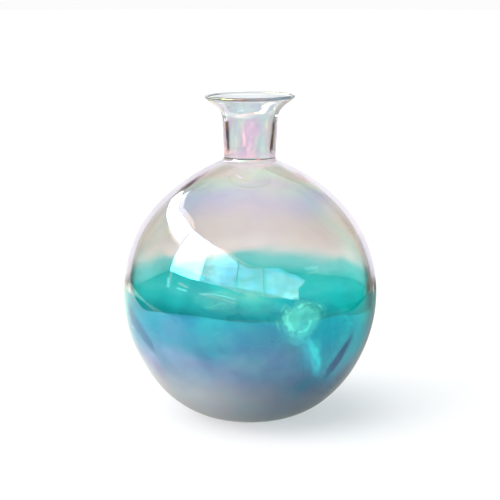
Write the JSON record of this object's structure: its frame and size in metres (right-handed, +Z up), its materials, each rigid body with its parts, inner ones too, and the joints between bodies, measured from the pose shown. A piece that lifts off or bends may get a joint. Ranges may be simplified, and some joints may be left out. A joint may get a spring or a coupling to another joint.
{
  "type": "hand blown glass vase",
  "caption": "Round clear glass vase with a short flared neck and teal, blue and lavender colour on the inside of its wall.",
  "frame": {"origin": "centre of the foot, on the surface the vase stands on", "axes": "+Z up along the vase's axis of turning"},
  "size_m": [0.1998, 0.1998, 0.254],
  "materials": {
    "clear_lustre_glass": "clear, fire polished, with a faint pearly lustre",
    "rim_glass": "fire polished, smoky aqua where the lustre is densest",
    "pontil_glass": "clear, softened break",
    "teal_colour": "transparent teal, soft wavy upper edge",
    "blue_colour": "cloudy blue with a pearly lustre",
    "lavender_colour": "cloudy greyish lavender with a pearly lustre"
  },
  "bodies": {
    "root": {"globe_wall": "clear_lustre_glass", "neck_tube": "clear_lustre_glass", "flared_lip": "clear_lustre_glass", "rim_bead": "rim_glass", "pontil_button": "pontil_glass", "teal_coat": "teal_colour", "blue_coat": "blue_colour", "lavender_coat": "lavender_colour"}
  },
  "joints": []
}
